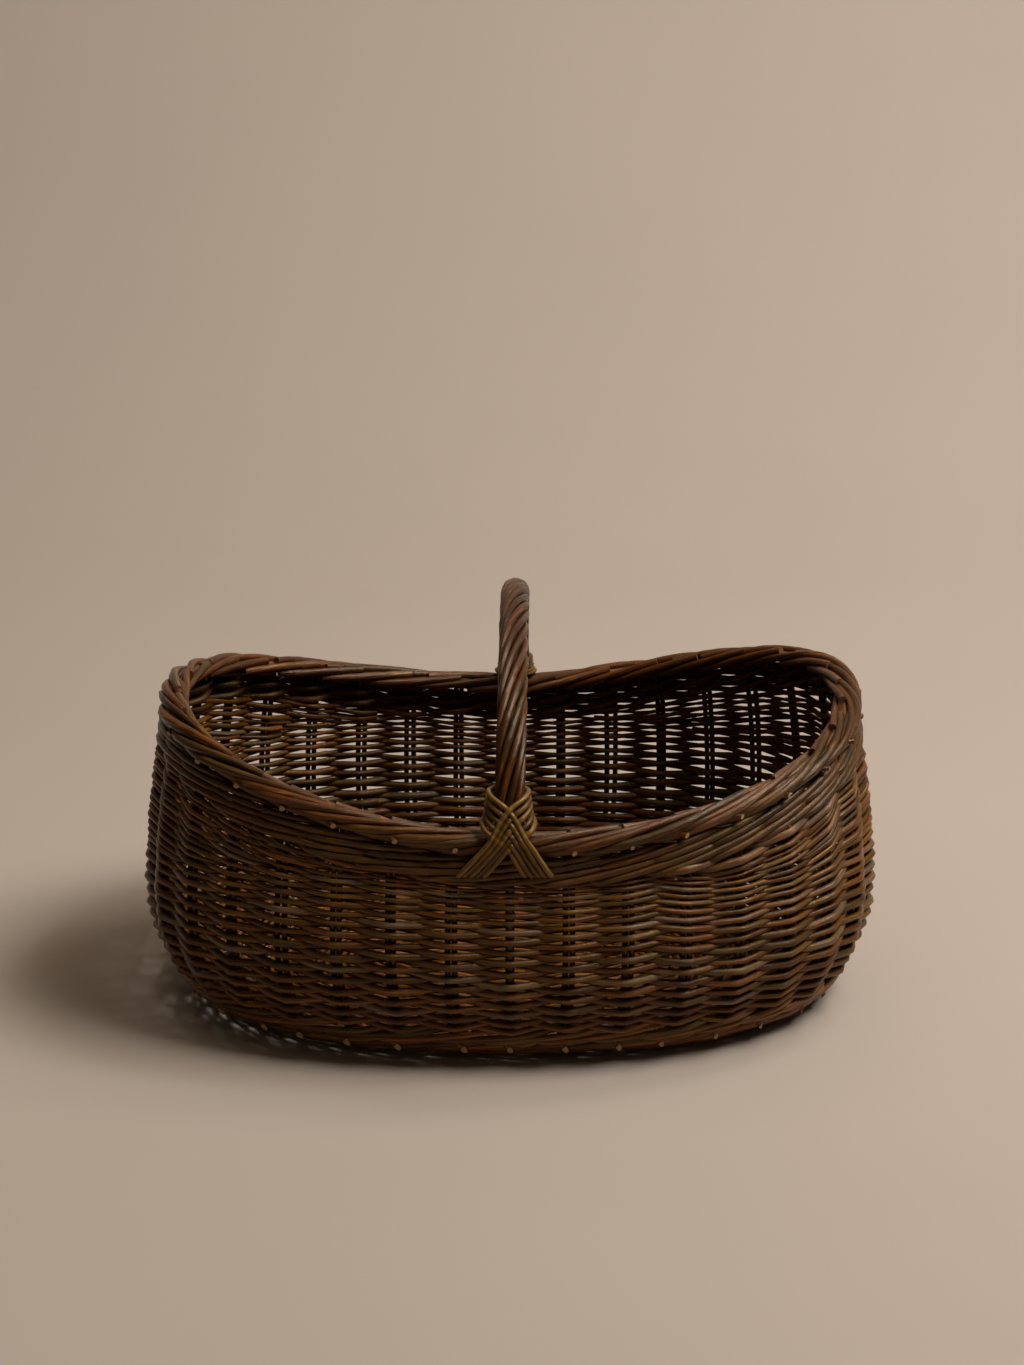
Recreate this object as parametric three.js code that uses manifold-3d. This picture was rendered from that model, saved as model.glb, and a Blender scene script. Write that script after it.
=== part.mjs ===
// An oval willow planter basket. Doubled stakes rise from a stick base through a waled foot, a wall of
// chasing weavers, packing at the ends and a top wale into a rolled border. A rod-wound handle is lashed on.
// Millimetres, +Z up, +X along the basket, +Y to the back. The origin is on the floor under the middle.
import * as THREE from "three";
import { mergeVertices } from "three/addons/utils/BufferGeometryUtils.js";
import Module from "manifold-3d";

const wasm = await Module();
wasm.setup();

// Gaps between pieces that seat on each other
const CLEARANCE = 0.3;
const ROW_GAP = 0.5;

// The wall's middle line, which the stakes follow
const PLAN_POWER = 2.35; // 2 is an ellipse, more is squarer
const BELLY_HALF_LENGTH = 294;
const BELLY_HALF_WIDTH = 209;
const BELLY_HEIGHT = 100;
const FOOT_INSET_AT_ENDS = 68; // in from the belly, where the wall meets the floor
const FOOT_INSET_AT_SIDES = 63;
const RIM_INSET_AT_ENDS = 20; // in from the belly, at the middle of the border
const RIM_INSET_AT_SIDES = 9;
const RIM_HEIGHT_AT_HANDLE = 190; // to the middle of the border
const RIM_RISE_TO_ENDS = 59;
const RIM_RISE_POWER = 1.75;
const RIM_TWIST = 4; // the woven rim stands this much out of true at its corners
const RIM_BACK_LIFT = 3.6; // its corners are raised at the back and lowered at the front
const PROFILE_SHARES = [0.06, 0.13, 0.22, 0.36, 0.62, 1, 1.5, 2, 3]; // bends of a stake, in belly heights

// Uprights: doubled stakes, and the two ends of the handle's bow at the front and the back
const UPRIGHTS = 36;
const STAKE_WIDTH = 8.6; // two rods side by side
const STAKE_THICKNESS = 4.4;
const STAKE_GROOVE_RATIO = 0.3; // thickness between the two rods over that of a rod
const STAKE_FOOT = 34; // run of a stake inside the base

// Woven rods
const WEAVER_THICKNESS = 4.2;
const WEAVER_ROWS = 14; // two weavers take turns, and each row stands for two of the real rods
const CLIMB_COUNT = 3; // uprights over which a rod climbs to its next row
const CLIMB_INDEX = 22; // upright at the back where it ends its climb
const UPSETT_THICKNESS = 5.2;
const UPSETT_PITCH = 8.6;
const UPSETT_ROWS = 4;
const UPSETT_START = 2.2; // up the wall from the bend of the stakes
const WALE_THICKNESS = 5;
const WALE_PITCH = 7.2;
const WALE_ROWS = 3;
const PACKING_PITCH = 7.3;
const TURN_RATIO = 0.6; // how far out a rod turns back, over the seat of a rod on its stake

// Border
const BORDER_WIDTH = 25;
const BORDER_HEIGHT = 19;
const BORDER_STRANDS = 6;
const BORDER_GROOVE_RATIO = 0.84; // groove radius over strand radius

// Base
const MAT_THICKNESS = 12; // where it swells over a spoke
const MAT_THICKNESS_BETWEEN = 8;
const MAT_INSET = 3; // edge of the mat, in from the bend of the stakes
const MAT_SWELL_INSET = 46; // where a swelling has faded out
const STICK_WIDTH = 9;
const STICK_HEIGHT = 7.2;
const STICK_PROUD = 1.5; // a trimmed end beyond the edge of the mat
const LONG_STICK_THICKNESS = 4.4;
const LONG_STICK_WIDTH = 8;
const LONG_STICK_SPACING = 11;
const LONG_STICKS = 2;
const LONG_STICK_END_GAP = 4; // from the foot of the stake at the basket's end
const SHORT_STICK_COUNTS = [-3.5, -1.5, 0, 1.5, 3.5]; // spacings of uprights, counted from the middle

// Handle
const HANDLE_RISE = 128; // middle of the bow at its top, above the middle of the border
const BOW_RADIUS = 5.2;
const BOW_END_WIDTH = 7; // the ends are shaved flat to go down into the wall
const BOW_END_THICKNESS = 4.2;
const BOW_TIP_HEIGHT = 26;
const BOW_STEPS = 18;
const BOW_SIDES = 6;
const HANDLE_RODS = 8;
const HANDLE_ROD_RADIUS = 2.82;
const HANDLE_ROD_GAP = 0.7; // from the bow, since a rod's straight facets cut inwards
const HANDLE_ROD_TURNS = 2.5;
const HANDLE_ROD_STEPS = 22;
const HANDLE_ROD_SIDES = 4;
const HANDLE_ROD_LIFT = 1.5; // ends of the rods above the border

// Handle lashing
const LASH_ROD = 3.8;
const LASH_RODS = 5;
const LASH_GROOVE_RATIO = 0.3; // height of the groove between two rods over that of a rod
const LASH_LEG_SPREAD = 26; // middle of a leg's lower end, from the middle of the handle
const LASH_LEG_DROP = 26; // lower end below the middle of the border
const LASH_CROSSING_RISE = 24; // crossing above the middle of the border
const LASH_TOP_RISE = 40; // middle of the wrap behind the handle

// Colours
const BROWN = 0x4a2f1c;
const DARK_BROWN = 0x3a2616;
const OLIVE_BROWN = 0x4d3d1f;
const RED_BROWN = 0x5a3018;

const FRONT = -Math.PI / 2;
const RIM_HALF_WIDTH = BELLY_HALF_WIDTH - RIM_INSET_AT_SIDES;
const MAT_MIDDLE = MAT_THICKNESS / 2;
const HANDLE_ROD_RING = BOW_RADIUS + HANDLE_ROD_GAP + HANDLE_ROD_RADIUS;
const HANDLE_RADIUS = HANDLE_ROD_RING + HANDLE_ROD_RADIUS;
const UP = new THREE.Vector3(0, 0, 1);

// Plan and profile

// A point of the unit plan, seen from above, at a polar angle.
function unitPlan(angle) {
  const c = Math.cos(angle);
  const s = Math.sin(angle);
  const reach = (Math.abs(c) ** PLAN_POWER + Math.abs(s) ** PLAN_POWER) ** (1 / PLAN_POWER);
  return new THREE.Vector2(c / reach, s / reach);
}

// Half length and half width of the wall: a quarter ellipse up to the belly, then drawn in towards the rim.
function roundedSize(height) {
  const size = (belly, footInset, rimInset, rimHeight) => {
    const below = Math.max(1 - height / BELLY_HEIGHT, 0);
    const above = Math.max((height - BELLY_HEIGHT) / (rimHeight - BELLY_HEIGHT), 0);
    return belly - footInset * (1 - Math.sqrt(1 - below * below)) - rimInset * above * above;
  };
  const endHeight = RIM_HEIGHT_AT_HANDLE + RIM_RISE_TO_ENDS;
  const length = size(BELLY_HALF_LENGTH, FOOT_INSET_AT_ENDS, RIM_INSET_AT_ENDS, endHeight);
  const width = size(BELLY_HALF_WIDTH, FOOT_INSET_AT_SIDES, RIM_INSET_AT_SIDES, RIM_HEIGHT_AT_HANDLE);
  return new THREE.Vector2(length, width);
}

// The stakes bend at set heights and are straight between them, and the weavers lie on the same line.
const bendHeights = PROFILE_SHARES.map((share) => share * BELLY_HEIGHT);
function wallSize(height) {
  const last = bendHeights.length - 2;
  const above = bendHeights.findIndex((bend) => bend > height);
  const i = above < 0 ? last : Math.min(Math.max(above - 1, 0), last);
  const share = (height - bendHeights[i]) / (bendHeights[i + 1] - bendHeights[i]);
  return roundedSize(bendHeights[i]).lerp(roundedSize(bendHeights[i + 1]), share);
}

function wallPoint(angle, height) {
  const plan = unitPlan(angle).multiply(wallSize(height));
  return new THREE.Vector3(plan.x, plan.y, height);
}

// The wall's middle line with its directions: along the ring, up the wall, out of it, and level.
function wallFrame(angle, height) {
  const step = 1e-3;
  const along = wallPoint(angle + step, height).sub(wallPoint(angle - step, height)).normalize();
  const up = wallPoint(angle, height + step).sub(wallPoint(angle, height - step)).normalize();
  const out = new THREE.Vector3().crossVectors(along, up).normalize();
  const level = new THREE.Vector3(along.y, -along.x, 0).normalize();
  return { point: wallPoint(angle, height), along, up, out, level };
}

// Climbs the wall at the middle of the front, from the bend of the stakes, until done says so.
function climbWall(done) {
  const step = BELLY_HEIGHT / 1000;
  const reached = { height: MAT_MIDDLE, distance: 0 };
  while (!done(reached)) {
    const next = wallPoint(FRONT, reached.height + step);
    reached.distance += next.distanceTo(wallPoint(FRONT, reached.height));
    reached.height += step;
  }
  return reached;
}
const heightUpWall = (wanted) => climbWall(({ distance }) => distance >= wanted).height;
const distanceUpWall = (wanted) => climbWall(({ height }) => height >= wanted).distance;

// Height of the middle of the border, which dips at the handle and rises to the ends.
function rimHeight(angle) {
  const plan = unitPlan(angle);
  const rise = RIM_RISE_TO_ENDS * Math.abs(plan.x) ** RIM_RISE_POWER;
  const corner = (RIM_TWIST * plan.x + RIM_BACK_LIFT * Math.abs(plan.x)) * 2 * plan.y;
  return RIM_HEIGHT_AT_HANDLE + rise + corner;
}
const borderBottom = (angle) => rimHeight(angle) - BORDER_HEIGHT / 2 - CLEARANCE;
const waleBottom = (angle) => borderBottom(angle) - WALE_ROWS * WALE_PITCH;

// Angles at half spacings of the uprights round the belly, the first at the middle of the front.
const halfPlaceAngles = [];
{
  const samples = 1440;
  const at = (i) => FRONT + (i / samples) * Math.PI * 2;
  const sums = [0];
  for (let i = 1; i <= samples; i++) {
    sums.push(sums[i - 1] + wallPoint(at(i), BELLY_HEIGHT).distanceTo(wallPoint(at(i - 1), BELLY_HEIGHT)));
  }
  for (let k = 0, i = 0; k < UPRIGHTS * 2; k++) {
    const wanted = (sums[samples] * k) / (UPRIGHTS * 2);
    while (sums[i + 1] < wanted) i++;
    halfPlaceAngles.push(at(i + (wanted - sums[i]) / (sums[i + 1] - sums[i])));
  }
}
function placeAngle(place) {
  const index = Math.round(place * 2) % (UPRIGHTS * 2);
  return halfPlaceAngles[(index + UPRIGHTS * 2) % (UPRIGHTS * 2)];
}

// Solids

// Joins sections, each a loop of as many points, into a closed skin: a ring, or a rod with flat ends.
function loft(sections, isRing) {
  const count = sections[0].length;
  const positions = sections.flat().flatMap((p) => [p.x, p.y, p.z]);
  const faces = [];
  const spans = isRing ? sections.length : sections.length - 1;
  for (let s = 0; s < spans; s++) {
    const here = s * count;
    const next = ((s + 1) % sections.length) * count;
    for (let i = 0; i < count; i++) {
      const j = (i + 1) % count;
      faces.push(here + i, here + j, next + j, here + i, next + j, next + i);
    }
  }
  const last = (sections.length - 1) * count;
  for (let i = 1; i < count - 1 && !isRing; i++) {
    faces.push(0, i + 1, i, last, last + i, last + i + 1);
  }
  const geometry = new THREE.BufferGeometry();
  geometry.setAttribute("position", new THREE.Float32BufferAttribute(positions, 3));
  geometry.setIndex(faces);
  return geometry;
}

// An oval section with the given number of corners, from its two half sizes as vectors.
function ovalSection(point, halfWide, halfThick, corners) {
  return Array.from({ length: corners }, (_, i) => {
    const turn = (i / corners) * Math.PI * 2;
    const corner = point.clone().addScaledVector(halfWide, Math.cos(turn));
    return corner.addScaledVector(halfThick, Math.sin(turn));
  });
}

function toSolid(geometry) {
  const bare = new THREE.BufferGeometry();
  bare.setAttribute("position", geometry.getAttribute("position").clone());
  bare.setIndex(geometry.index);
  const merged = mergeVertices(bare, 1e-4);
  const vertProperties = new Float32Array(merged.getAttribute("position").array);
  const triVerts = new Uint32Array(merged.index.array);
  return new wasm.Manifold(new wasm.Mesh({ numProp: 3, vertProperties, triVerts }));
}

function toGeometry(solid) {
  const mesh = solid.getMesh();
  const geometry = new THREE.BufferGeometry();
  geometry.setAttribute("position", new THREE.BufferAttribute(new Float32Array(mesh.vertProperties), 3));
  geometry.setIndex(new THREE.BufferAttribute(new Uint32Array(mesh.triVerts), 1));
  return geometry;
}

function cut(geometry, tools) {
  return toGeometry(tools.reduce((solid, tool) => solid.subtract(tool), toSolid(geometry)));
}

const root = new THREE.Group();
root.name = "planter_basket";

function addPiece(name, geometry, color) {
  geometry.deleteAttribute("normal");
  geometry.deleteAttribute("uv");
  geometry.computeVertexNormals();
  const material = new THREE.MeshStandardMaterial({ color, roughness: 0.7, metalness: 0 });
  const mesh = new THREE.Mesh(geometry, material);
  mesh.name = name;
  root.add(mesh);
}

// Stakes: each runs out of the base, bends up and follows the wall into the underside of the border

// Two rods side by side, with a groove between them on the outside and the inside.
function stakeSection({ point, along, out }) {
  const groove = STAKE_GROOVE_RATIO;
  const corners = [[1, 0], [0.5, 1], [0, groove], [-0.5, 1], [-1, 0], [-0.5, -1], [0, -groove], [0.5, -1]];
  return corners.map(([wide, thick]) => {
    const corner = point.clone().addScaledVector(along, (-wide * STAKE_WIDTH) / 2);
    return corner.addScaledVector(out, (thick * STAKE_THICKNESS) / 2);
  });
}

function stakeSections(angle) {
  const bend = wallFrame(angle, MAT_MIDDLE);
  const foot = bend.point.clone().addScaledVector(bend.level, -STAKE_FOOT);
  const top = borderBottom(angle);
  const heights = [...bendHeights.filter((height) => height < top - CLEARANCE * 4), top];
  const inBase = stakeSection({ point: foot, along: bend.along, out: UP.clone().negate() });
  return [inBase, ...heights.map((height) => stakeSection(wallFrame(angle, height)))];
}

const stakePlaces = [];
for (let place = 0; place < UPRIGHTS; place++) {
  if (place % (UPRIGHTS / 2) !== 0) stakePlaces.push(place);
}
stakePlaces.forEach((place, i) => {
  const number = String(i + 1).padStart(2, "0");
  addPiece("stake_" + number, loft(stakeSections(placeAngle(place)), false), DARK_BROWN);
});

// Handle bow: a bent rod whose shaved ends run down through the border and the weaving

class HandleArch extends THREE.Curve {
  getPoint(share) {
    const low = Math.asin((BORDER_HEIGHT / 2 + HANDLE_ROD_LIFT) / HANDLE_RISE);
    const turn = low + (Math.PI - 2 * low) * share;
    const reach = wallPoint(FRONT, RIM_HEIGHT_AT_HANDLE).y;
    const height = RIM_HEIGHT_AT_HANDLE + HANDLE_RISE * Math.sin(turn);
    return new THREE.Vector3(0, reach * Math.cos(turn), height);
  }
}
const arch = new HandleArch();
const across = new THREE.Vector3(-1, 0, 0);

// A point of the arch and the direction away from the middle of the arch.
function archFrame(share) {
  const away = new THREE.Vector3().crossVectors(arch.getTangentAt(share), across);
  return { point: arch.getPointAt(share), away };
}

function archSections(radius) {
  return Array.from({ length: BOW_STEPS + 1 }, (_, i) => {
    const { point, away } = archFrame(i / BOW_STEPS);
    return ovalSection(point, across.clone().multiplyScalar(radius), away.multiplyScalar(radius), BOW_SIDES);
  });
}

function bowSections(grow) {
  const shavedEnd = (angle) => {
    const top = borderBottom(angle);
    const bends = bendHeights.filter((height) => height > BOW_TIP_HEIGHT && height < top);
    return [BOW_TIP_HEIGHT - grow, ...bends, top].map((height) => {
      const { point, out } = wallFrame(angle, height);
      const halfWide = across.clone().multiplyScalar(BOW_END_WIDTH / 2 + grow);
      return ovalSection(point, halfWide, out.multiplyScalar(BOW_END_THICKNESS / 2 + grow), BOW_SIDES);
    });
  };
  return [...shavedEnd(FRONT), ...archSections(BOW_RADIUS + grow), ...shavedEnd(-FRONT).reverse()];
}
const bowTool = toSolid(loft(bowSections(CLEARANCE), false));
addPiece("handle_bow", loft(bowSections(0), false), BROWN);

// Handle rods: wound round the bow side by side, from the border at the front to the border at the back

const woundLines = [];
for (let rod = 0; rod < HANDLE_RODS; rod++) {
  const points = Array.from({ length: HANDLE_ROD_STEPS + 1 }, (_, i) => {
    const share = i / HANDLE_ROD_STEPS;
    const { point, away } = archFrame(share);
    const turn = Math.PI * 2 * (rod / HANDLE_RODS - HANDLE_ROD_TURNS * share);
    point.addScaledVector(across, HANDLE_ROD_RING * Math.sin(turn));
    return point.addScaledVector(away, HANDLE_ROD_RING * Math.cos(turn));
  });
  const corners = Array.from({ length: HANDLE_ROD_SIDES }, (_, i) => {
    const turn = (i / HANDLE_ROD_SIDES) * Math.PI * 2;
    return new THREE.Vector2(Math.cos(turn), Math.sin(turn)).multiplyScalar(HANDLE_ROD_RADIUS);
  });
  const extrudePath = new THREE.CatmullRomCurve3(points);
  const shape = new THREE.Shape(corners);
  const wound = new THREE.ExtrudeGeometry(shape, { steps: HANDLE_ROD_STEPS, extrudePath });
  addPiece("handle_rod_" + (rod + 1), wound, rod % 2 ? BROWN : RED_BROWN);
  woundLines.push(extrudePath.getPoints(HANDLE_ROD_STEPS * 10));
}

// The rods are wound alike, so the gap between two neighbours holds for all.
const gapToNext = (point) => Math.min(...woundLines[1].map((other) => point.distanceTo(other)));
const woundGap = Math.min(...woundLines[0].map(gapToNext)) - 2 * HANDLE_ROD_RADIUS;
console.log("Least gap between wound handle rods: " + woundGap.toFixed(2) + " mm");

// Woven rods: one step at each upright, with its height, its side of the upright and the way the rod travels.
// A rod that turns back has two more steps beside the upright, going round it and coming back.

const OUTSIDE = 1;
const INSIDE = -1;

function wovenRod(steps, thickness, pitch) {
  const slack = CLEARANCE * 3; // a rod slants past the stake
  const seat = STAKE_THICKNESS / 2 + slack + thickness / 2;
  const beside = STAKE_WIDTH / 2 + slack + thickness / 2;
  const sections = steps.map(({ place, height, side, way, turn }) => {
    const { point, along, up, out } = wallFrame(placeAngle(place), height);
    const travel = along.clone().multiplyScalar(way);
    if (turn) {
      point.addScaledVector(along, way * beside).addScaledVector(out, side * turn * TURN_RATIO * seat);
      travel.multiplyScalar(turn).addScaledVector(out, -side).normalize();
    } else {
      point.addScaledVector(out, side * seat);
    }
    const halfTall = up.clone().multiplyScalar((pitch - ROW_GAP) / 2);
    const halfThick = travel.cross(up).multiplyScalar(thickness / 2);
    return ovalSection(point, halfTall, halfThick, 4);
  });
  return loft(sections, false);
}

// A rod that goes round level, and climbs by so many rows over the last few uprights of each round.
function climbingRod(rounds, firstRow, rowsEach, heightOf, sideOf) {
  const steps = [];
  for (let c = 0; c <= rounds * UPRIGHTS - CLIMB_COUNT; c++) {
    const round = Math.floor(c / UPRIGHTS);
    const climbed = Math.max((c % UPRIGHTS) - (UPRIGHTS - CLIMB_COUNT), 0) / CLIMB_COUNT;
    const place = CLIMB_INDEX + c;
    const row = firstRow + rowsEach * (round + climbed);
    steps.push({ place, height: heightOf(row, placeAngle(place)), side: sideOf(place, round), way: 1 });
  }
  return steps;
}

// Upsett and top wale: heavier rods, outside two uprights and inside the third, one place on in each row.
const walePass = (place, round) => ((place + round) % 3 === 0 ? INSIDE : OUTSIDE);
const upsettHeight = (row) => heightUpWall(UPSETT_START + (row + 0.5) * UPSETT_PITCH);
const upsettSteps = climbingRod(UPSETT_ROWS, 0, 1, upsettHeight, walePass);
addPiece("upsett_wale", wovenRod(upsettSteps, UPSETT_THICKNESS, UPSETT_PITCH), DARK_BROWN);

const waleHeight = (row, angle) => waleBottom(angle) + (row + 0.5) * WALE_PITCH;
const waleSteps = climbingRod(WALE_ROWS, 0, 1, waleHeight, walePass);
addPiece("top_wale", wovenRod(waleSteps, WALE_THICKNESS, WALE_PITCH), OLIVE_BROWN);

// Chasing weavers: each passes outside one upright and inside the next, and the other does the opposite.
const wallRows = {};
wallRows.start = UPSETT_START + UPSETT_ROWS * UPSETT_PITCH;
wallRows.end = distanceUpWall(waleBottom(FRONT));
wallRows.pitch = (wallRows.end - wallRows.start) / WEAVER_ROWS;
const weaverHeight = (row) => heightUpWall(wallRows.start + (row + 0.5) * wallRows.pitch);
["a", "b"].forEach((letter, i) => {
  const sideOf = (place) => ((place + i) % 2 === 0 ? OUTSIDE : INSIDE);
  const steps = climbingRod(WEAVER_ROWS / 2, i, 2, weaverHeight, sideOf);
  const weaver = wovenRod(steps, WEAVER_THICKNESS, wallRows.pitch);
  addPiece("chasing_weaver_" + letter, weaver, i ? BROWN : RED_BROWN);
});

// Packing: at each end a rod goes to and fro in shorter and shorter rows, and fills up to the rising wale.
function packingSteps(middle) {
  const base = heightUpWall(wallRows.end);
  const heightOf = (row) => base + (row + 0.5) * PACKING_PITCH;
  const fits = (place, row) => base + (row + 1) * PACKING_PITCH < waleBottom(placeAngle(place));
  const reach = (row, way) => {
    let count = 0;
    while (fits(middle + way * (count + 1), row)) count++;
    return count;
  };
  const steps = [];
  let row = 0;
  let way = 1;
  let from = middle - reach(0, -1);
  while (fits(middle, row + 1) && reach(row + 1, way) > 0) {
    const to = middle + way * reach(row + 1, way);
    const sideOf = (place) => ((place + row) % 2 === 0 ? OUTSIDE : INSIDE);
    for (let place = from; place !== to + way; place += way) {
      steps.push({ place, height: heightOf(row), side: sideOf(place), way });
    }
    steps.push({ place: to, height: heightOf(row + 1 / 3), side: sideOf(to), way, turn: 1 });
    steps.push({ place: to, height: heightOf(row + 2 / 3), side: sideOf(to), way, turn: -1 });
    from = to;
    way = -way;
    row++;
  }
  const side = (from + row) % 2 === 0 ? OUTSIDE : INSIDE;
  steps.push({ place: from, height: heightOf(row), side, way });
  steps.push({ place: from + way, height: heightOf(row), side: -side, way });
  return steps;
}
addPiece("packing_right", wovenRod(packingSteps(UPRIGHTS / 4), WEAVER_THICKNESS, PACKING_PITCH), BROWN);
addPiece("packing_left", wovenRod(packingSteps((UPRIGHTS * 3) / 4), WEAVER_THICKNESS, PACKING_PITCH), BROWN);

// Border: the tops of the stakes, rolled over into a rope that turns by one strand at each upright, so that a
// strand lies on top of every stake

function borderSections() {
  return halfPlaceAngles.map((angle, column) => {
    const { point, level } = wallFrame(angle, rimHeight(angle));
    const halfStrand = Math.PI / BORDER_STRANDS;
    return Array.from({ length: BORDER_STRANDS * 2 }, (_, i) => {
      const turn = FRONT + (column - i) * halfStrand;
      const share = i % 2 === 0 ? 1 : BORDER_GROOVE_RATIO;
      const corner = point.clone().addScaledVector(level, (BORDER_WIDTH / 2) * share * Math.cos(turn));
      return corner.addScaledVector(UP, (BORDER_HEIGHT / 2) * share * Math.sin(turn));
    });
  });
}
addPiece("border", cut(loft(borderSections(), true), [bowTool]), RED_BROWN);

// Lashings: rods laid side by side, crossed over the handle's foot and drawn down over the border

// One leg, from below the border on one side, over the crossing and round the other side of the handle.
function lashLeg(side) {
  const eighth = Math.PI / 4;
  const lowWall = -wallPoint(FRONT, RIM_HEIGHT_AT_HANDLE - LASH_LEG_DROP).y - RIM_HALF_WIDTH;
  const lowOut = lowWall + STAKE_THICKNESS / 2 + WALE_THICKNESS + CLEARANCE * 3 + LASH_ROD / 2;
  const borderOut = BORDER_WIDTH / 2 + CLEARANCE * 2 + LASH_ROD / 2;
  const wrap = (HANDLE_RADIUS + CLEARANCE * 3) / Math.cos(eighth / 2) + LASH_ROD / 2;
  const overBorder = (x, out, rise) => ({
    point: new THREE.Vector3(side * x, -RIM_HALF_WIDTH - out, RIM_HEIGHT_AT_HANDLE + rise),
    outward: new THREE.Vector3(0, -1, 0),
  });
  const roundHandle = (rise, facing) => {
    const lean = Math.asin(rise / HANDLE_RISE);
    const middle = new THREE.Vector3(0, -RIM_HALF_WIDTH * Math.cos(lean), RIM_HEIGHT_AT_HANDLE + rise);
    const away = new THREE.Vector3(0, -HANDLE_RISE * Math.cos(lean), RIM_HALF_WIDTH * Math.sin(lean));
    const outward = away.normalize().multiplyScalar(Math.cos(facing));
    outward.addScaledVector(across, -side * Math.sin(facing));
    return { point: middle.addScaledVector(outward, wrap), outward };
  };
  const knots = [
    overBorder(-LASH_LEG_SPREAD, lowOut, -LASH_LEG_DROP),
    overBorder(-LASH_LEG_SPREAD / 2, borderOut, (LASH_CROSSING_RISE - LASH_LEG_DROP) / 2),
  ];
  for (let turns = 0; turns <= 4; turns++) {
    const rise = LASH_CROSSING_RISE + ((LASH_TOP_RISE - LASH_CROSSING_RISE) * turns) / 4;
    knots.push(roundHandle(rise, turns * eighth));
  }
  const sections = knots.map(({ point, outward }, i) => {
    const after = knots[Math.min(i + 1, knots.length - 1)].point;
    const along = after.clone().sub(knots[Math.max(i - 1, 0)].point);
    const wide = new THREE.Vector3().crossVectors(outward, along).normalize();
    const at = (rods, height) =>
      point.clone().addScaledVector(wide, rods * LASH_ROD).addScaledVector(outward, height * LASH_ROD);
    const ridges = Array.from({ length: LASH_RODS * 2 + 1 }, (_, k) => {
      return at((k - LASH_RODS) / 2, k % 2 ? 0.5 : LASH_GROOVE_RATIO / 2);
    });
    return [...ridges, at(LASH_RODS / 2, -0.5), at(-LASH_RODS / 2, -0.5)].reverse();
  });
  return toSolid(loft(sections, false));
}
const lashing = toGeometry(lashLeg(1).add(lashLeg(-1)));
addPiece("front_lashing", lashing, OLIVE_BROWN);
addPiece("rear_lashing", lashing.clone().rotateZ(Math.PI), OLIVE_BROWN);

// Base: a woven mat on short sticks, which are split so that the long sticks pass through them

function longStick(index, grow) {
  const y = (index - (LONG_STICKS - 1) / 2) * LONG_STICK_SPACING;
  const half = wallPoint(0, MAT_MIDDLE).x - STAKE_FOOT - LONG_STICK_END_GAP;
  const size = [2 * half, LONG_STICK_WIDTH, LONG_STICK_THICKNESS].map((s) => s + 2 * grow);
  return new THREE.BoxGeometry(...size).translate(0, y, MAT_MIDDLE);
}

// A short stick lies midway between the feet of two stakes.
function shortStick(place, grow) {
  const { point, level } = wallFrame(placeAngle(place), MAT_MIDDLE);
  const half = Math.abs(point.y) - MAT_INSET + STICK_PROUD;
  const size = [STICK_WIDTH, 2 * half, STICK_HEIGHT].map((s) => s + 2 * grow);
  return new THREE.BoxGeometry(...size).translate(point.x - (level.x * STAKE_FOOT) / 2, 0, MAT_MIDDLE);
}

const longSticks = Array.from({ length: LONG_STICKS }, (_, i) => i);
const longTools = longSticks.map((i) => toSolid(longStick(i, CLEARANCE)));
const shortTools = SHORT_STICK_COUNTS.map((place) => toSolid(shortStick(place, CLEARANCE)));
longSticks.forEach((i) => addPiece("base_long_stick_" + (i + 1), longStick(i, 0), DARK_BROWN));
SHORT_STICK_COUNTS.forEach((place, i) => {
  addPiece("base_short_stick_" + (i + 1), cut(shortStick(place, 0), longTools), DARK_BROWN);
});

// Room for the foot of a stake.
function footRoom(place) {
  const { point, along, level } = wallFrame(placeAngle(place), MAT_MIDDLE);
  const section = (reach) => [[1, 1], [-1, 1], [-1, -1], [1, -1]].map(([wide, tall]) => {
    const corner = point.clone().addScaledVector(level, reach);
    corner.addScaledVector(along, wide * (STAKE_WIDTH / 2 + CLEARANCE));
    return corner.addScaledVector(UP, tall * (STAKE_THICKNESS / 2 + CLEARANCE));
  });
  return toSolid(loft([section(-STAKE_FOOT - CLEARANCE), section(0)], false));
}

// The mat swells over each spoke: the feet of the stakes and the ends of the short sticks.
function isSpoke(place) {
  const fromMiddle = place > UPRIGHTS / 4 && place < (UPRIGHTS * 3) / 4 ? place - UPRIGHTS / 2 : place;
  const count = fromMiddle > UPRIGHTS / 2 ? fromMiddle - UPRIGHTS : fromMiddle;
  return Number.isInteger(place) || SHORT_STICK_COUNTS.includes(count);
}
function matRing(inset, heightAt) {
  return halfPlaceAngles.map((angle, i) => {
    const { point, level } = wallFrame(angle, MAT_MIDDLE);
    return point.addScaledVector(level, -inset).setZ(heightAt(i / 2));
  });
}
const mat = loft([
  matRing(MAT_INSET, () => 0),
  matRing(MAT_INSET, (place) => (isSpoke(place) ? MAT_THICKNESS : MAT_THICKNESS_BETWEEN)),
  matRing(MAT_SWELL_INSET, () => MAT_THICKNESS_BETWEEN),
], false);
const matTools = [...stakePlaces.map(footRoom), ...longTools, ...shortTools];
addPiece("base_mat", cut(mat, matTools), OLIVE_BROWN);

export default root;
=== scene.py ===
import math

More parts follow.
